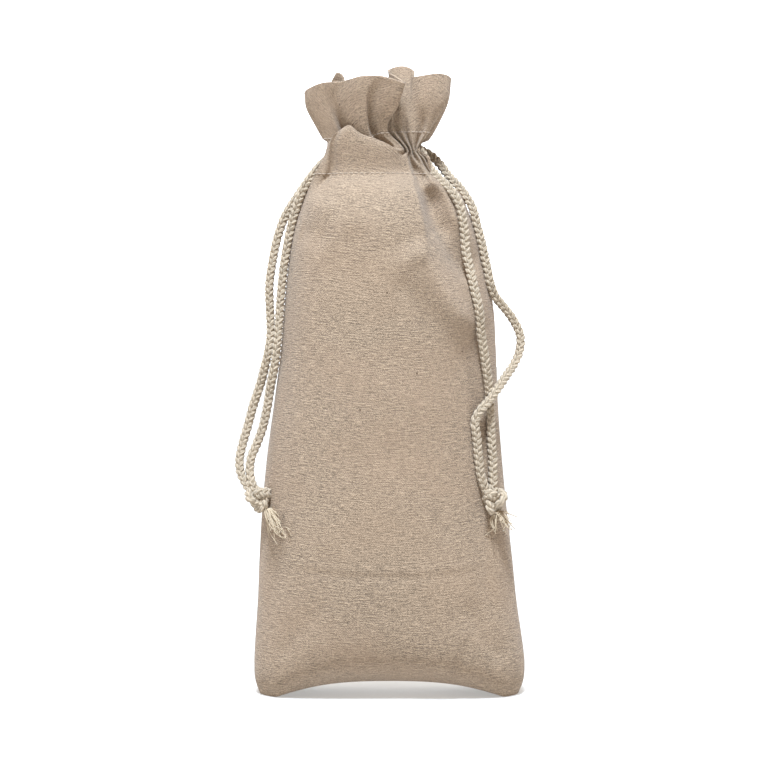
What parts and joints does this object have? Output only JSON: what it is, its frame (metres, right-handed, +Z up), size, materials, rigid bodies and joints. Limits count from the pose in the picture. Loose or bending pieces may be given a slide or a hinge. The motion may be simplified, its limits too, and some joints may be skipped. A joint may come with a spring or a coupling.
{
  "type": "drawstring wine gift bag",
  "caption": "Tall sewn cotton bag for a bottle, standing filled, its gathered neck drawn closed by braided drawcords that are knotted and frayed at each side.",
  "frame": {"origin": "on the surface the bag stands on, under the middle of its bottom", "axes": "+X to the bag's right as seen from the front, -Y to the front, +Z up the bag"},
  "size_m": [0.1692, 0.086, 0.366],
  "materials": {
    "canvas": "unbleached woven cotton canvas, matte",
    "thread": "cotton sewing thread and seam allowance, matte",
    "cord_cotton": "braided natural cotton cord, matte"
  },
  "bodies": {
    "bag": {"front_panel": "canvas", "rear_panel": "canvas", "front_facing": "canvas", "rear_facing": "canvas", "front_lower_stitching": "thread", "front_upper_stitching": "thread", "rear_lower_stitching": "thread", "rear_upper_stitching": "thread", "left_side_seam": "thread", "right_side_seam": "thread", "bottom_seam": "thread", "left_cord_bend": "cord_cotton", "right_cord_bend": "cord_cotton"},
    "front_frill": {"front_frill": "canvas"},
    "rear_frill": {"rear_frill": "canvas"},
    "left_drawcord": {"left_cord_front_run": "cord_cotton", "left_cord_rear_run": "cord_cotton"},
    "left_tails": {"left_front_tail": "cord_cotton", "left_rear_tail": "cord_cotton", "left_knot": "cord_cotton", "left_tassel": "cord_cotton"},
    "right_drawcord": {"right_cord_front_run": "cord_cotton", "right_cord_rear_run": "cord_cotton"},
    "right_tails": {"right_front_tail": "cord_cotton", "right_rear_tail": "cord_cotton", "right_knot": "cord_cotton", "right_tassel": "cord_cotton"}
  },
  "joints": [
    {"name": "front_frill_open", "type": "hinge", "parent": "bag", "child": "front_frill", "pos_m": [-0.00875, -0.016, 0.3287], "axis": [1, 0, 0], "range_deg": [0, 25], "stiffness_Nm_per_rad": 0.005},
    {"name": "rear_frill_open", "type": "hinge", "parent": "bag", "child": "rear_frill", "pos_m": [-0.00875, 0.016, 0.3287], "axis": [-1, 0, 0], "range_deg": [0, 25], "stiffness_Nm_per_rad": 0.005},
    {"name": "left_cord_pull", "type": "slide", "parent": "bag", "child": "left_drawcord", "axis": [-1, 0, 0], "range_m": [0, 0.012]},
    {"name": "left_tails_swing", "type": "hinge", "parent": "left_drawcord", "child": "left_tails", "pos_m": [-0.0343, 0, 0.3115], "axis": [0, 1, 0], "range_deg": [0, 45]},
    {"name": "right_cord_pull", "type": "slide", "parent": "bag", "child": "right_drawcord", "axis": [1, 0, 0], "range_m": [0, 0.012]},
    {"name": "right_tails_swing", "type": "hinge", "parent": "right_drawcord", "child": "right_tails", "pos_m": [0.0163, 0, 0.3185], "axis": [0, -1, 0], "range_deg": [0, 45]}
  ]
}
